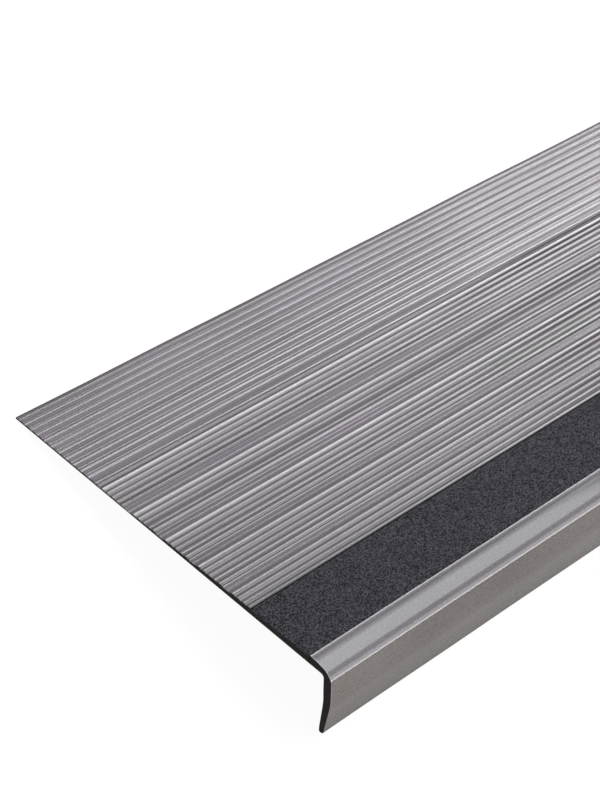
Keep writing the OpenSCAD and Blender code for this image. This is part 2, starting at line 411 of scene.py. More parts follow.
def lip_inset(sheet, drop):
    """How far the lip's outer face stands back at a drop below the crown: none, then along a circle, then
    along the straight line that the circle ends in."""
    below = np.maximum(drop - sheet.lip_straight, 0)
    bend = sheet.lean_radius * math.sin(sheet.lip_lean)
    on_arc = sheet.lean_radius - np.sqrt(sheet.lean_radius ** 2 - np.minimum(below, bend) ** 2)
    return on_arc + np.maximum(below - bend, 0) * math.tan(sheet.lip_lean)


def lip_thickness(sheet, drop):
    """Thickness of the lip at a drop below the crown: even, then thinning in a straight line to the tip."""
    return np.interp(
        drop, [sheet.lip_straight, sheet.lip_drop - sheet.tip_radius], [sheet.lip_t, sheet.tip_t])


def tip_arc(sheet, radius, turns, steps):
    """Points on an arc round the tip, of any radius, that is as low as the lip reaches down."""
    middle = lip_inset(sheet, sheet.lip_drop - sheet.tip_radius) + sheet.tip_radius
    return arc([middle, sheet.crown_t - sheet.lip_drop + radius], radius, *turns, steps)


def rows_of(depth, relief, crest=0, groove=0, band=0):
    """Points of the ribbed field, one a row: depth, relief below the line over the ribs, and how much painted
    highlight (crest), painted shade (groove) and dull band the surface gets there."""
    return np.column_stack(np.broadcast_arrays(depth, relief, crest, groove, band))


def rib(ribs, start, front, crest, rear, slant, bow, painted_light):
    """Points of one rib, a little closer together near its crest.

    The relief on its front side is the sum of three shares of its depth: the slant grows with the way from
    the crest to the valley, the bow with its square, and the rest with its eighth power, so the last part
    falls steeply. The rear side is shorter, and its relief grows with the square of the way. The crest gets
    a share of painted highlight, and painted shade darkens the surface towards both valleys."""
    front_way = (1 - np.linspace(0, 1, RIB_FRONT_STEPS, endpoint=False)) ** 1.2
    rear_way = np.linspace(0, 1, RIB_REAR_STEPS, endpoint=False)
    down = slant * front_way + bow * front_way ** 2 + (1 - slant - bow) * front_way ** 8
    front_side = rows_of(
        start + ribs.pitch * ribs.crest_at * (1 - front_way), crest + (front - crest) * down,
        painted_light * (1 - front_way) ** 2, VALLEY_SHADE * front_way ** 2)
    rear_side = rows_of(
        start + ribs.pitch * (ribs.crest_at + (1 - ribs.crest_at) * rear_way),
        crest + (rear - crest) * rear_way ** 2, painted_light * (1 - rear_way) ** 3, rear_way ** 0.9)
    return np.concatenate([front_side, rear_side])


def front_shape(ribs, i, first, last):
    """Slant and bow of a rib that is i ribs in front of its lead rib, and may be the first of its group or
    in the last group."""
    if first:
        return ribs.first_slant, ribs.first_bow
    if i == 0:
        return ribs.slant, ribs.bow
    if last:
        return ribs.last_slant / i, ribs.last_bow
    return 0, ribs.other_bow


def highlight_share(ribs, i, first, last):
    """How much painted highlight the crest of such a rib gets, as a share of what its group may get. It grows
    with the third power of its nearness to the lead rib, and in the last group with the square."""
    if first:
        return 0 if last else FIRST_RIB_HIGHLIGHT
    nearness = 1 - i / ribs.per_group
    return LAST_LEAD_HIGHLIGHT * nearness ** 2 if last else LEAD_HIGHLIGHT * nearness ** 3


def rib_group(ribs, lead, number_of_ribs, highlit, last):
    """Points of a group: the lead rib at its rear is highest, and the grooves fade away from it. The first
    rib starts on the ridge in front of it, so it lacks its lowest points and gets less painted shade."""
    found = []
    for i in range(number_of_ribs - 1, -1, -1):
        first = i == number_of_ribs - 1
        front = ribs.band_depth if first else ribs.first_groove - i * ribs.fade
        rear = ribs.band_depth if i == 0 else ribs.first_groove - (i - 1) * ribs.fade
        crest = 0 if i == 0 else ribs.step
        slant, bow = front_shape(ribs, i, first, last)
        painted_light = highlit * highlight_share(ribs, i, first, last)
        points = rib(ribs, lead - (i + ribs.crest_at) * ribs.pitch, front, crest, rear, slant, bow, painted_light)
        if first:
            points[:RIB_FRONT_STEPS, 2 + PAINTED_SHADE] *= FIRST_VALLEY_SHADE
            points = points[2:]
        found.append(points)
    return found


def band(ribs, lead, ridge_h, swell_h):
    """Points of the flat band behind a group, with a low swelling on it and a low ridge along its rear edge,
    both of a given height and in the shape of a squared half sine."""
    t = np.linspace(0, 1, BAND_STEPS + 1)
    hump = np.sin(np.pi * t) ** 2
    start = lead + (1 - ribs.crest_at) * ribs.pitch
    swelling = lead + ribs.swell_at + ribs.swell_w * t
    end = lead + ribs.group_pitch - (ribs.per_group - 1 + ribs.crest_at) * ribs.pitch
    ridge = end + ribs.low_ridge_w * (t - ribs.low_ridge_at)
    # The band's front edge gets half painted shade, and the low ridge a painted highlight on top and painted
    # shade towards its rear
    return [
        rows_of(np.array([start]), ribs.band_depth, groove=BAND_SHADE, band=0.5),
        rows_of(swelling, ribs.band_depth - swell_h * hump, band=1),
        rows_of(
            ridge, ribs.band_depth - ridge_h * hump, RIDGE_HIGHLIGHT * hump, groove=RIDGE_SHADE * t ** 3,
            band=1 - t)]


def fall(way):
    """A smooth fall from one to nought as the way goes from nought to one, and even before and after."""
    return 0.5 + 0.5 * np.cos(np.pi * np.clip(way, 0, 1))


def wide_rib(ribs, start, width, depth, side, top_step):
    """Points of a wide rib: up from a groove of some depth in front over the width of a side to a shelf, up
    a fine step to the crest, and down to the next groove over the same width, each in the shape of half a
    cosine wave. On a narrow rib the sides are narrower too."""
    side = min(side, MOST_SIDE * width)
    crest = width - side
    at = np.concatenate([
        side * np.linspace(0, 1, WIDE_STEPS, endpoint=False),
        crest - ribs.top_step_w * np.linspace(1, 0, TOP_STEPS + 1),
        crest + side * np.linspace(0, 1, WIDE_STEPS)[1:-1]])
    step = top_step * fall((at - crest) / ribs.top_step_w + 1)
    down = 1 - fall((at - crest) / side)
    relief = depth * fall(at / side) + step + (ribs.wide_groove + ribs.top_step) * down
    # Painted highlight: a little over the whole rib, more down its rear side
    return rows_of(start + at, relief, WIDE_HIGHLIGHT + WIDE_SLOPE_HIGHLIGHT * down)


def rib_groups(ribs, lead, groups):
    """Points of the groups of ribs and of the bands between them, from the first lead rib's place."""
    found = []
    for g in range(groups):
        at = lead + g * ribs.group_pitch
        number_of_ribs = ribs.in_front if g == 0 else ribs.per_group
        # The painted highlight on this group's crests grows from group to group, up to a most
        highlit = min(MOST_HIGHLIGHT, FRONT_HIGHLIGHT + HIGHLIGHT_GAIN * g)
        found += rib_group(ribs, at, number_of_ribs, highlit, g == groups - 1)
        if g < groups - 1:
            ridge_h = ribs.low_ridge * ribs.ridge_fade ** (g * g)
            found += band(ribs, at, ridge_h, ribs.swell_h + g * ribs.swell_gain)
    return found


def shelf_step(ribs, last_lead):
    """Points of the valley behind the last lead rib and of the step up from it to the wide ribs."""
    way = np.array([1 - ribs.crest_at, 0.6, 0.73, 0.83, 0.91, 0.98, 1.06, 1.14])
    relief = np.array([0.9, 1, 0.75, 0.34, 0.14, 0.08, 0.14, 0.17])
    # How much painted shade each point gets
    shade = np.array([1, 1, 0.8, 0.3, 0, 0, 0.3, 0.4])
    return rows_of(last_lead + way * ribs.pitch, relief * ribs.band_depth, groove=shade)


def wide_ribs(sheet, ribs, start):
    """Points of the wide ribs from a place on, and of the margin behind the last groove. The first wide rib
    takes up what is left over, and is lower than the others. The margin falls off with the square of the
    way, and painted shade darkens it towards the rear edge."""
    last_groove = sheet.depth - ribs.margin
    room = last_groove - ribs.edge_ribs * ribs.edge_pitch - start
    wide = int(room / ribs.wide_pitch - FIRST_WIDE_LEAST)
    first = room - wide * ribs.wide_pitch
    widths = [ribs.wide_pitch] * wide + [ribs.edge_pitch] * ribs.edge_ribs
    starts = start + first + np.concatenate([[0], np.cumsum(widths)])
    found = [wide_rib(
        ribs, start, first, FIRST_WIDE_SIDE * ribs.wide_groove, FIRST_WIDE_SIDE * ribs.groove_half,
        FIRST_WIDE_STEP * ribs.top_step)]
    found += [
        wide_rib(ribs, at, width, ribs.wide_groove, ribs.groove_half, ribs.top_step)
        for at, width in zip(starts, widths)]
    t = np.linspace(0, 1, MARGIN_STEPS + 1)
    slope = last_groove + MARGIN_SLOPE * ribs.groove_half * t
    margin = last_groove + np.linspace(*MARGIN_FALL, MARGIN_STEPS + 1) * ribs.margin
    return found + [
        rows_of(slope, ribs.top_step + ribs.wide_groove * fall(t)),
        rows_of(margin, ribs.top_step + ribs.edge_fall * t ** 2, groove=EDGE_SHADE * t)]


def field(sheet, strip, ribs):
    """Points of the whole ribbed field, from the channel to the rear margin, with painted shade just behind
    the strip. It starts with a point on the channel's edge, in full painted shade, and the points too near
    to that one are left out."""
    front = field_front(sheet, strip)
    lead = front + ribs.front_flank + (ribs.in_front - 1) * ribs.pitch
    room = sheet.depth - ribs.rear_zone - lead - (1 - ribs.crest_at) * ribs.pitch
    groups = 1 + int(room / ribs.group_pitch)
    last_lead = lead + (groups - 1) * ribs.group_pitch
    found = np.concatenate([
        *rib_groups(ribs, lead, groups), shelf_step(ribs, last_lead),
        *wide_ribs(sheet, ribs, last_lead + WIDE_START * ribs.pitch)])
    first = [np.interp(front, found[:, 0], column) for column in found.T[:2]] + [0, 1, 0]
    found = found[found[:, 0] > front + TOO_NEAR]
    shade = 1 - (found[:, 0] - front) / (STRIP_SHADE * ribs.front_flank)
    found[:, 2 + PAINTED_SHADE] = np.maximum(found[:, 2 + PAINTED_SHADE], shade)
    return np.concatenate([[first], found])


def smooth_curve(sheet, strip):
    """The smooth part of the shown side: the tip, the lip, the nose, the crown, the bead and the channel's
    floor, each as depths and heights, and how many of the first faces are matt.

    On the lower half of the nose lies a low swelling that rises and falls in the shape of half a cosine wave
    each. The bead's height goes with one less the fourth power of the way from its middle."""
    tip_level = sheet.lip_drop - sheet.tip_radius
    tip = tip_arc(sheet, sheet.tip_radius, OUTER_TIP, TIP_STEPS)
    shorter = sheet.crown_radius - sheet.nose_radius
    sweep = math.degrees(math.asin((sheet.crown_depth - sheet.nose_radius) / shorter))
    nose_height = sheet.crown_t - sheet.crown_radius + shorter * math.cos(math.radians(sweep))
    drop = np.linspace(tip_level, sheet.crown_t - nose_height, LIP_STEPS + 1)[1:-1]
    lip = np.column_stack([lip_inset(sheet, drop), sheet.crown_t - drop])
    turned = np.linspace(90, sweep, NOSE_STEPS + 1)
    rise = 1 - fall((turned - sheet.swell_from) / (sheet.swell_top - sheet.swell_from))
    swelling = sheet.nose_swell * rise * fall((turned - sheet.swell_top) / (90 - sheet.swell_top))
    reach = sheet.nose_radius + swelling
    nose = np.column_stack([
        sheet.nose_radius - reach * np.sin(np.radians(turned)),
        nose_height + reach * np.cos(np.radians(turned))])
    bead_sweep = math.degrees(math.asin(strip.bead_w / sheet.crown_radius))
    crown = arc(
        [sheet.crown_depth, sheet.crown_t - sheet.crown_radius], sheet.crown_radius, 90 + sweep,
        90 + bead_sweep, CROWN_STEPS)[1:]
    t = np.linspace(0, 1, BEAD_STEPS + 1)[1:]
    bead = np.column_stack([
        sheet.crown_depth - strip.bead_w * (1 - t), sheet.crown_t + strip.bead_h * (1 - (2 * t - 1) ** 4)])
    floor = np.linspace(sheet.crown_depth, field_front(sheet, strip), FLOOR_STEPS + 1)
    channel = np.column_stack([floor, over_ribs(sheet, strip, floor) - strip.channel_depth])
    matt_faces = len(tip) + len(lip) + np.count_nonzero(turned > sheet.matt_from) - 1
    return [tip, lip, nose, crown, bead, channel], matt_faces


def outer_curve(sheet, strip, ribs):
    """The shown side of the section, from under the tip over the nose to the rear edge, as depths and
    heights, with how much of a crest, a groove, a band and the ribbed field each point is, the numbers of
    points on the tip, the lip and the nose, and how many of the first faces are matt.

    Painted shade darkens the lip a little towards the tip, the channel's floor, the crown at the foot of the
    bead and the rear edge. A painted highlight lightens the bead's top, the lip towards its top, and a
    little the other smooth parts."""
    smooth_parts, matt_faces = smooth_curve(sheet, strip)
    smooth = np.concatenate(smooth_parts)
    found = field(sheet, strip, ribs)
    ribbed = np.column_stack([found[:, 0], over_ribs(sheet, strip, found[:, 0]) - found[:, 1]])
    edge_start = math.degrees(math.asin(1 - (ribs.top_step + ribs.edge_fall) / sheet.edge_round))
    edge = arc(
        [sheet.depth - sheet.edge_round, sheet.rear_t - sheet.edge_round], sheet.edge_round, edge_start, 0,
        EDGE_STEPS)
    curve = np.concatenate([smooth, ribbed, edge])
    kinds = np.zeros((len(curve), len(KINDS)))
    kinds[len(smooth):, RIBBED] = 1
    kinds[len(smooth):-len(edge), :RIBBED] = found[:, 2:]
    kinds[-len(edge):, PAINTED_SHADE] = EDGE_SHADE
    depth, height = curve.T
    to_tip = np.clip(-height / sheet.lip_drop, 0, 1)
    on_lip = height < 0
    kinds[:, PAINTED_HIGHLIGHT] += np.where(on_lip, LIP_PAINTED_LIGHT * (1 - to_tip), SMOOTH_PAINTED_LIGHT * (1 - kinds[:, RIBBED]))
    kinds[:, PAINTED_SHADE] += TIP_SHADE * to_tip
    kinds[:, BAND] += np.interp(to_tip, DULL_LIP, [0, 1])
    kinds[len(smooth) - len(smooth_parts[-1]):len(smooth), PAINTED_SHADE] = 1
    before_strip = (sheet.crown_depth - depth) / strip.bead_w
    from_foot = np.abs(before_strip - BEAD_FOOT[0])
    kinds[:, PAINTED_SHADE] += FOOT_SHADE * np.where(on_lip, 0, np.clip(BEAD_FOOT[1] - from_foot, 0, 1))
    kinds[:, PAINTED_HIGHLIGHT] += BEAD_HIGHLIGHT * (np.abs(before_strip - BEAD_TOP[0]) < BEAD_TOP[1])
    counts = [len(part) for part in smooth_parts[:3]]
    return curve, kinds, counts, matt_faces


def inner_curve(sheet, outer, counts):
    """The hidden side of the section, with one point for each point of the shown side.

    Round the tip it is a tighter arc, on the lip it lies at the same levels, round the nose it is the corner
    between lip and underside, and behind that it shares out the underside by the way along the shown side,
    in which heights count a tenth."""
    on_tip, on_lip, on_nose = counts
    tip_level = sheet.lip_drop - sheet.tip_radius
    tip = tip_arc(sheet, sheet.tip_t - sheet.tip_radius, INNER_TIP, on_tip - 1)
    corner = [sheet.lip_t + sheet.corner_radius, -sheet.corner_radius]
    drop = np.linspace(tip_level, sheet.crown_t - corner[1], on_lip + 2)[1:-1]
    lip = np.column_stack([lip_inset(sheet, drop) + lip_thickness(sheet, drop), sheet.crown_t - drop])
    bend = arc(corner, sheet.corner_radius, 180, 90, on_nose - 1)
    rest = outer[sum(counts) - 1:]
    steps = np.diff(rest, axis=0)
    way = np.cumsum(np.hypot(steps[:, 0], steps[:, 1] / 10))
    depth = corner[0] + (sheet.depth - corner[0]) * way / way[-1]
    under = np.column_stack([depth, np.zeros(len(depth))])
    return np.concatenate([tip, lip, bend, under])


# Meshes

def outward(loop):
    """Unit normals of a closed outline that runs clockwise, from the chord between each point's
    neighbours."""
    chord = np.roll(loop, -1, axis=0) - np.roll(loop, 1, axis=0)
    turned = np.column_stack([-chord[:, 1], chord[:, 0]])
    return turned / np.linalg.norm(turned, axis=1, keepdims=True)


def at_the_cut(kinds):
    """The kinds of surface along the rims of the cut ends: a painted highlight where the sheet is smooth,
    and painted shade on the crests of the ribs."""
    found = kinds.copy()
    found[:, PAINTED_HIGHLIGHT] += RIM_HIGHLIGHT * (1 - kinds[:, RIBBED])
    on_crest = (kinds[:, PAINTED_HIGHLIGHT] > LEAST_HIGHLIGHT) * kinds[:, RIBBED]
    found[:, PAINTED_SHADE] = np.maximum(kinds[:, PAINTED_SHADE], on_crest)
    return found


def rim_stations(half, rim, inner):
    """Places along the length and how far the outline draws in there: a quarter circle at each cut end,
    which rounds its rim, and the inner places between."""
    turns = np.radians(np.linspace(90, 0, RIM_OUTLINES))
    at = half - rim + rim * np.sin(turns)
    drawn = rim * (1 - np.cos(turns))
    places = np.concatenate([-at, inner, at[::-1]])
    return places, np.concatenate([drawn, np.zeros(len(inner)), drawn[::-1]])


def quads(rows, columns):
    """Corner numbers of the quads of a grid, row by row, where each row closes on itself."""
    r, c = np.meshgrid(np.arange(rows - 1), np.arange(columns), indexing="ij")
    here = r * columns + c
    beside = r * columns + (c + 1) % columns
    return np.stack([here, beside, beside + columns, here + columns], axis=-1).reshape(-1, 4)


def cut_end(sheet, x, ring, ring_start, start):
    """Points and quads of one cut end, ruled between the two sides of its outline. The outline's points are
    numbered from ring_start on, and the new rows across the thickness from start on."""
    half = len(ring) // 2
    outer, inner = ring[:half], ring[half:][::-1]
    rows = outer[:, None] + (inner - outer)[:, None] * np.array(CORE_ROWS)[:, None]
    index = np.arange(half)
    table = np.column_stack([
        ring_start + index, start + index[:, None] * len(CORE_ROWS) + np.arange(len(CORE_ROWS)),
        ring_start + len(ring) - 1 - index])
    caps = np.stack([table[:-1, :-1], table[1:, :-1], table[1:, 1:], table[:-1, 1:]], axis=-1)
    points = lay_down(sheet, x, rows[..., 0], rows[..., 1])
    return points.reshape(-1, 3), caps.reshape(-1, 4)


def sheet_surface(sheet, strip, ribs, half):
    """Points, faces, material slots, kinds of surface and share of the cut's core of the whole sheet.

    The closed outline of the section is carried along the length. It draws in against its normals, a little
    everywhere and more over the round rims, and the two cut ends close it."""
    outer, kinds, counts, matt_faces = outer_curve(sheet, strip, ribs)
    inner = inner_curve(sheet, outer, counts)
    if len(inner) != len(outer):
        raise RuntimeError("the two sides of the section have different numbers of points")
    loop = np.concatenate([outer, inner[::-1]])
    kinds = np.concatenate([kinds, np.zeros(kinds.shape)])
    # Where the painted highlight and painted shade along each cut end begin
    painted_light = half - sheet.painted_rim
    between = np.linspace(-half, half, LENGTH_STEPS + 1)[1:-1]
    x, drawn = rim_stations(half, sheet.rim, np.concatenate([[-painted_light], between, [painted_light]]))
    flat = loop - (drawn + sheet.inset)[:, None, None] * outward(loop)
    points = [lay_down(sheet, x[:, None], flat[..., 0], flat[..., 1]).reshape(-1, 3)]
    rings = np.tile(kinds, (len(x), 1, 1))
    rings[:RIM_OUTLINES] = rings[-RIM_OUTLINES:] = at_the_cut(kinds)
    around = np.full(len(loop), BACK)
    around[:len(outer)] = SATIN
    around[:matt_faces] = MATT
    faces = [quads(len(x), len(loop))]
    slots = [np.tile(around, len(x) - 1)]
    for end in (0, len(x) - 1):
        more, caps = cut_end(sheet, x[end], flat[end], end * len(loop), sum(map(len, points)))
        points.append(more)
        faces.append(caps if end else caps[:, ::-1])
        slots.append(np.full(len(caps), CUT))
    on_cuts = 2 * len(more)
    kinds = np.concatenate([rings.reshape(-1, len(KINDS)), np.zeros((on_cuts, len(KINDS)))])
    core = np.concatenate([np.zeros(len(points[0])), np.tile(CORE_SHADES, on_cuts // len(CORE_SHADES))])
    return np.concatenate(points), np.concatenate(faces).tolist(), np.concatenate(slots), kinds, core


def grit_surface(sheet, strip, half):
    """Points and faces of the grit strip: a field of rough grains with straight sides and a flat base.

    Each height is a seeded random one, evened out with its four neighbours and held within two standard
    deviations. The two long edges stay lower."""
    front = sheet.crown_depth + strip.gap
    rear = front + strip.width
    rows = int(2 * half / strip.grain)
    columns = int(strip.width / strip.grain)
    x = np.linspace(-half, half, rows)
    inside = np.linspace(front + strip.bevel, rear - strip.bevel, columns)
    depth = np.concatenate([[front], inside, [rear]])
    rough = np.random.default_rng(GRIT_SEED).standard_normal((rows, columns + 2))
    beside = sum(np.roll(rough, step, axis) for axis in (0, 1) for step in (1, -1))
    even = rough + NEIGHBOUR_SHARE * beside
    even = np.clip(even / even.std() / 2, -1, 1) * strip.grain_h
    even[:, [0, -1]] = -strip.bevel
    base = over_ribs(sheet, strip, depth) - strip.channel_depth
    height = base + strip.thickness + even - 0.5 * strip.grain_h
    loop_depth = np.concatenate([depth, depth[[-1, 0]]])
    loop_height = np.concatenate([height, np.tile(base[[-1, 0]], (rows, 1))], axis=1)
    points = lay_down(sheet, x[:, None], loop_depth, loop_height).reshape(-1, 3)
    size = len(loop_depth)
    faces = quads(rows, size).tolist()
    faces += [list(range(size))[::-1], list(range((rows - 1) * size, rows * size))]
    return points, faces


def fill_mesh(name, points, faces, slots, materials, sharp):
    """A mesh object of one piece, from points, faces and each face's material slot."""
    mesh = bpy.data.meshes.new(name)
    mesh.from_pydata(points.tolist(), [], faces)
    for material in materials:
        mesh.materials.append(material)
    mesh.polygons.foreach_set("material_index", slots)
    mesh.polygons.foreach_set("use_smooth", np.ones(len(faces), bool))
    mesh.set_sharp_from_angle(angle=math.radians(sharp))
    if mesh.validate():
        raise RuntimeError(name + " had faulty faces")
    piece = bpy.data.objects.new(name, mesh)
    bpy.context.scene.collection.objects.link(piece)
    return piece


def point_values(piece, name, values):
    """Stores one number for each point of a piece, for its material to read."""
    found = piece.data.attributes.new(name, "FLOAT", "POINT")
    found.data.foreach_set("value", np.asarray(values, np.float32))


# Materials

class NodeTree:
    """Adds nodes to a material or a world and wires them up."""

    def __init__(self, owner):
        owner.use_nodes = True
        self.owner = owner
        self.tree = owner.node_tree
        self.tree.nodes.clear()

    def add(self, kind, values=None, **options):
        """A node of a kind, with its options, and with its inputs set to values or wired to outputs."""
        node = self.tree.nodes.new(kind)
        for key, value in options.items():
            setattr(node, key, value)
        for key, value in (values or {}).items():
            if isinstance(value, bpy.types.NodeSocket):
                self.tree.links.new(value, node.inputs[key])
            else:
                node.inputs[key].default_value = value
        return node

    def place(self, scale):
        """Object coordinates, scaled along the three axes."""
        source = self.add("ShaderNodeTexCoord").outputs["Object"]
        return self.add("ShaderNodeMapping", {"Vector": source, "Scale": scale}).outputs["Vector"]

    def noise(self, scale, detail=2):
        """Noise on scaled object coordinates."""
        values = {"Vector": self.place(scale), "Scale": 1.0, "Detail": detail}
        return self.add("ShaderNodeTexNoise", values).outputs["Fac"]

    def sum(self, operation, first, second):
        """One sum with two numbers."""
        return self.add("ShaderNodeMath", {0: first, 1: second}, operation=operation).outputs["Value"]

    def range(self, value, low, high, to_low, to_high):
        """A value carried from one range to another, and held within it."""
        values = {"Value": value, "From Min": low, "From Max": high, "To Min": to_low, "To Max": to_high}
        return self.add("ShaderNodeMapRange", values).outputs["Result"]

    def spread(self, noise, to_low, to_high):
        """Noise carried to a range, from the one in which most of its values lie."""
        return self.range(noise, *NOISE_RANGE, to_low, to_high)

    def blend(self, factor, first, second):
        """A mix of two colours."""
        values = {0: factor, 6: first, 7: second}
        return self.add("ShaderNodeMix", values, data_type="RGBA").outputs[2]

    def multiply(self, shade, factor):
        """A colour times a number."""
        node = self.add("ShaderNodeVectorMath", {0: shade, "Scale": factor}, operation="SCALE")
        return node.outputs["Vector"]

    def bump(self, height, distance, strength=1.0, normal=None):
        """A bump of a height, on top of another one where there is one."""
        values = {"Height": height, "Distance": distance, "Strength": strength}
        if normal is not None:
            values["Normal"] = normal
        return self.add("ShaderNodeBump", values).outputs["Normal"]

    def principled(self, values):
        """Shows the principled shader with such inputs on the surface, and gives the finished material."""
        shader = self.add("ShaderNodeBsdfPrincipled", values)
        self.add("ShaderNodeOutputMaterial", {"Surface": shader.outputs["BSDF"]})
        return self.owner


def rgba(value, factor=1.0):
    """A colour property as a socket value, made lighter or darker by a factor."""
    return (*[min(1.0, part * factor) for part in value], 1.0)


def grey_vinyl(name, finish, smooth, specular):
    """Grey vinyl: fine streaks along the length on the ribbed field, painted highlights on the crests,
    duller bands, painted shade in the grooves and low places, and a nearly even colour where it is smooth."""
    tree = NodeTree(bpy.data.materials.new(name))
    streaks = tree.noise((0.8, 620, 620))
    threads = tree.noise((2.5, 1200, 1200), detail=1)
    broad = tree.noise((1.2, 90, 90))
    clouds = tree.noise((9, 9, 9))
    specks = tree.noise((900, 1000, 1000))
    grain = tree.noise((1800, 2600, 2600), detail=1)
    crest, groove, band, ribbed = [
        tree.add("ShaderNodeAttribute", attribute_name=kind).outputs["Fac"] for kind in KINDS]
    lines = tree.sum("ADD", tree.sum("ADD", streaks, broad), tree.spread(threads, -0.55, 0.55))
    lines = tree.sum("MULTIPLY", tree.sum("SUBTRACT", lines, 1.0), tree.range(ribbed, 0, 1, 0.12, 1))
    specks = tree.spread(specks, -0.45, 0.45)
    tone = tree.range(tree.sum("ADD", tree.sum("ADD", lines, clouds), specks), 0.1, 0.9, 0, 1)
    drift = tree.range(tree.noise((4, 60, 60)), 0.4, 0.7, 0, 1)
    grey = tree.blend(ribbed, rgba(smooth), tree.blend(drift, rgba(finish.vinyl), rgba(finish.vinyl_cool)))
    grey = tree.multiply(grey, tree.range(tone, 0, 1, 0.68, 1.32))
    # Painted highlight where the surface is a crest, then painted shade where it is a groove
    painted_light = tree.blend(tree.range(crest, 0, 1.25, 0, 1), grey, rgba(finish.vinyl_highlight))
    shaded = tree.blend(tree.range(groove, 0.1, 0.9, 0, 1), painted_light, rgba(finish.vinyl_shade))
    rough = tree.sum("ADD", tree.spread(broad, -0.03, 0.03), tree.range(band, 0, 1, 0, 0.1))
    relief = tree.sum("MULTIPLY", tree.sum("ADD", streaks, tree.sum("MULTIPLY", threads, 0.5)), ribbed)
    bump = tree.bump(relief, 0.05 * MM)
    bump = tree.bump(grain, 0.01 * MM, 0.4, bump)
    return tree.principled({
        "Base Color": shaded, "Roughness": tree.sum("ADD", rough, finish.gloss), "IOR": 1.5,
        "Specular IOR Level": specular, "Normal": bump})


def dull_vinyl(finish):
    """The underside: dull grey vinyl with faint lines along the length."""
    tree = NodeTree(bpy.data.materials.new("dull_vinyl"))
    lines = tree.noise((2, 500, 500), detail=3)
    spots = tree.noise((160, 160, 160), detail=3)
    tone = tree.range(tree.sum("ADD", lines, spots), 0.7, 1.3, 0, 1)
    grey = tree.blend(tone, rgba(finish.vinyl_back, 0.8), rgba(finish.vinyl_back, 1.2))
    return tree.principled({
        "Base Color": grey, "Roughness": tree.spread(spots, 0.6, 0.72),
        "Normal": tree.bump(tree.sum("ADD", lines, spots), 0.05 * MM, 0.5)})


def cut_vinyl(finish):
    """The cut ends, in painted shade: nearly black along their edges, dark grey in the core, with fine marks
    of the blade.
    """
    tree = NodeTree(bpy.data.materials.new("cut_vinyl"))
    core = tree.add("ShaderNodeAttribute", attribute_name="core").outputs["Fac"]
    marks = tree.noise((1, 350, 1500), detail=3)
    spots = tree.noise((700, 700, 700))
    tone = tree.sum("MULTIPLY", core, tree.range(tree.sum("ADD", marks, spots), 0.7, 1.3, 0.55, 1.2))
    grey = tree.blend(tone, rgba(finish.cut), rgba(finish.cut_core))
    return tree.principled({
        "Base Color": grey, "Roughness": tree.spread(marks, 0.62, 0.8),
        "Specular IOR Level": finish.matt_specular,
        "Normal": tree.bump(tree.sum("ADD", marks, spots), 0.08 * MM, 0.6)})


def mineral_grit(finish, strip):
    """Black mineral grains: each cell of a Voronoi pattern is a grain with its own shade and gloss."""
    tree = NodeTree(bpy.data.materials.new("mineral_grit"))
    cells, fine = [
        tree.add("ShaderNodeTexVoronoi", {"Vector": tree.place((per_grain / strip.grain,) * 3), "Scale": 1.0})
        for per_grain in CELLS_PER_GRAIN]
    parts = tree.add("ShaderNodeSeparateColor", {"Color": cells.outputs["Color"]})
    shade = tree.sum("POWER", tree.range(parts.outputs["Red"], 0.1, 1, 0, 1), 1.4)
    grey = tree.blend(shade, rgba(finish.grit), rgba(finish.grit_light))
    height = tree.sum("ADD", cells.outputs["Distance"], fine.outputs["Distance"])
    return tree.principled({
        "Base Color": grey, "Roughness": tree.range(parts.outputs["Green"], 0, 1, 0.45, 0.85),
        "Specular IOR Level": 0.1, "Normal": tree.bump(tree.sum("MULTIPLY", height, -1.0), 0.25 * MM, 0.8)})


# Operators

def settings():
    """The sizes and the finish that the pieces are built from."""
    scene = bpy.context.scene
    return scene.tread_sheet, scene.tread_strip, scene.tread_ribs, scene.tread_finish


class TREAD_OT_ribbed_sheet(bpy.types.Operator):
    """Build the vinyl sheet with its ribs, crown, lip and cut ends"""

    bl_idname = "tread.ribbed_sheet"
    bl_label = "Ribbed sheet"

    def execute(self, context):
        sheet, strip, ribs, finish = settings()
        low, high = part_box("vinyl_tread")
        points, faces, slots, kinds, core = sheet_surface(sheet, strip, ribs, (high.x - low.x) / 2)
        materials = [
            grey_vinyl("satin_vinyl", finish, finish.crown, finish.satin_specular), dull_vinyl(finish),
            cut_vinyl(finish), grey_vinyl("matt_vinyl", finish, finish.lip, finish.matt_specular)]
        piece = fill_mesh("ribbed_sheet", points, faces, slots, materials, sharp=38)
        for name, column in zip(KINDS, kinds.T):
            point_values(piece, name, column)
        point_values(piece, "core", core)
        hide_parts("vinyl_tread")
        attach(piece, BODY)
        return {"FINISHED"}


class TREAD_OT_grit_strip(bpy.types.Operator):
    """Build the grit strip as a field of rough grains with cut sides"""

    bl_idname = "tread.grit_strip"
    bl_label = "Grit strip"

    def execute(self, context):
        sheet, strip, _, finish = settings()
        low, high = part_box("grit_strip")
        points, faces = grit_surface(sheet, strip, (high.x - low.x) / 2)
        slots = np.zeros(len(faces), int)
        piece = fill_mesh("grit_surface", points, faces, slots, [mineral_grit(finish, strip)], sharp=50)
        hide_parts("grit_strip")
        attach(piece, BODY)
        return {"FINISHED"}


def look_from(azimuth, elevation):
    """Unit vector from the object towards a side and a height, where azimuth nought is the front."""
    return Vector((
        math.sin(azimuth) * math.cos(elevation), -math.cos(azimuth) * math.cos(elevation),
        math.sin(elevation)))


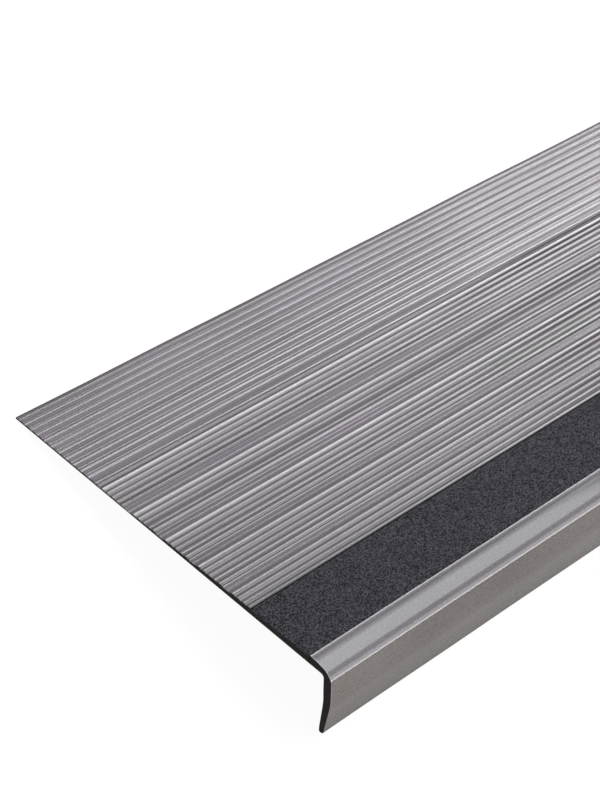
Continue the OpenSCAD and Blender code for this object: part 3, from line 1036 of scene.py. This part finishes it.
def softbox(name, low, high, first, last, radiance, tint):
    """A long area lamp parallel to the tread, as bright as a surface of that radiance.

    Seen along the tread from the near end, it spans the angles from low to high, measured upwards from the
    rear. Along the tread it reaches from first to last, in metres from the tread's middle."""
    middle = math.radians((low + high) / 2)
    away = Vector((0, math.cos(middle), math.sin(middle)))
    lamp = bpy.data.lights.new(name, "AREA")
    lamp.shape = "RECTANGLE"
    lamp.size = last - first
    lamp.size_y = 2 * LAMP_DISTANCE * math.tan(math.radians(high - low) / 2)
    lamp.energy = radiance * math.pi * lamp.size * lamp.size_y
    lamp.color = tint
    holder = bpy.data.objects.new(name, lamp)
    holder.location = away * LAMP_DISTANCE
    holder.location.x = (first + last) / 2
    holder.rotation_mode = "QUATERNION"
    holder.rotation_quaternion = (-away).to_track_quat("-Z", "Y")
    bpy.context.scene.collection.objects.link(holder)


def background_rays(tree):
    """One for rays that show the background: from the camera, and seen in gloss and through glass."""
    path = tree.add("ShaderNodeLightPath")
    gloss = tree.sum("MAXIMUM", path.outputs["Is Glossy Ray"], path.outputs["Is Transmission Ray"])
    return tree.sum("MAXIMUM", path.outputs["Is Camera Ray"], gloss)


def white_floor():
    """A pale floor that shows as white and keeps the object's shadow."""
    tree = NodeTree(bpy.data.materials.new("white_floor"))
    spots = tree.noise((3, 3, 3))
    darker, lighter = [rgba(WHITE, grey) for grey in FLOOR_GREYS]
    return tree.principled({
        "Base Color": tree.blend(spots, darker, lighter), "Roughness": 0.9, "Specular IOR Level": 0.0,
        "Emission Color": rgba(WHITE),
        "Emission Strength": tree.sum("MULTIPLY", background_rays(tree), FLOOR_GLOW)})


class TREAD_OT_stage(bpy.types.Operator):
    """Set up the camera, the lamps and the white floor"""

    bl_idname = "tread.stage"
    bl_label = "Stage"

    def execute(self, context):
        scene = context.scene
        stage, sheet = scene.tread_stage, scene.tread_sheet
        camera = bpy.data.objects.new("camera", bpy.data.cameras.new("camera"))
        camera.data.lens = stage.lens
        origin, back, up = section_axes(sheet)
        low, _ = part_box("vinyl_tread")
        aim = origin + stage.aim_depth * back + stage.aim_height * up
        aim[0] = low.x + stage.aim_from_end
        away = look_from(stage.azimuth, stage.elevation)
        camera.location = Vector(aim) + away * stage.distance
        camera.rotation_mode = "QUATERNION"
        camera.rotation_quaternion = (-away).to_track_quat("-Z", "Y") @ Quaternion((0, 0, 1), stage.roll)
        scene.collection.objects.link(camera)
        scene.camera = camera
        scene.view_settings.view_transform = "Standard"

        corners = FLOOR_SIDE / 2 * np.array([[-1, -1, 0], [1, -1, 0], [1, 1, 0], [-1, 1, 0]])
        floor = fill_mesh("floor", corners, [[0, 1, 2, 3]], np.zeros(1, int), [white_floor()], sharp=30)
        for name, lamp in LAMPS.items():
            softbox(name, *lamp)

        world = bpy.data.worlds.new("studio")
        scene.world = world
        tree = NodeTree(world)
        even = tree.add("ShaderNodeBackground", {"Color": rgba(WHITE), "Strength": stage.fill})
        white = tree.add("ShaderNodeBackground", {"Color": rgba(WHITE), "Strength": 1.0})
        mixed = tree.add("ShaderNodeMixShader", {
            "Fac": background_rays(tree), 1: even.outputs[0], 2: white.outputs[0]})
        tree.add("ShaderNodeOutputWorld", {"Surface": mixed.outputs[0]})
        return {"FINISHED"}


class TREAD_PT_panel(bpy.types.Panel):
    """Sidebar panel with the steps and the sizes of the stair tread"""

    bl_idname = "TREAD_PT_panel"
    bl_label = "Stair tread"
    bl_space_type = "VIEW_3D"
    bl_region_type = "UI"
    bl_category = "Stair tread"

    def draw(self, context):
        for operator in OPERATORS:
            self.layout.operator(operator.bl_idname)
        for group_name in GROUPS:
            box = self.layout.box()
            group = getattr(context.scene, group_name)
            for key in group.bl_rna.properties.keys():
                if key not in ("rna_type", "name"):
                    box.prop(group, key)


OPERATORS = (TREAD_OT_ribbed_sheet, TREAD_OT_grit_strip, TREAD_OT_stage)
GROUPS = {
    "tread_sheet": SheetSizes,
    "tread_strip": StripSizes,
    "tread_ribs": RibSizes,
    "tread_finish": Finish,
    "tread_stage": StageSettings,
}


def register():
    for item in (*GROUPS.values(), *OPERATORS, TREAD_PT_panel):
        bpy.utils.register_class(item)
    for name, group in GROUPS.items():
        setattr(bpy.types.Scene, name, bpy.props.PointerProperty(type=group))


def unregister():
    for name in GROUPS:
        delattr(bpy.types.Scene, name)
    for item in (TREAD_PT_panel, *reversed(OPERATORS), *reversed(list(GROUPS.values()))):
        bpy.utils.unregister_class(item)


def main():
    register()
    bpy.ops.tread.ribbed_sheet()
    bpy.ops.tread.grit_strip()
    bpy.ops.tread.stage()
    bpy.context.view_layer.update()


if __name__ == "__main__":
    main()
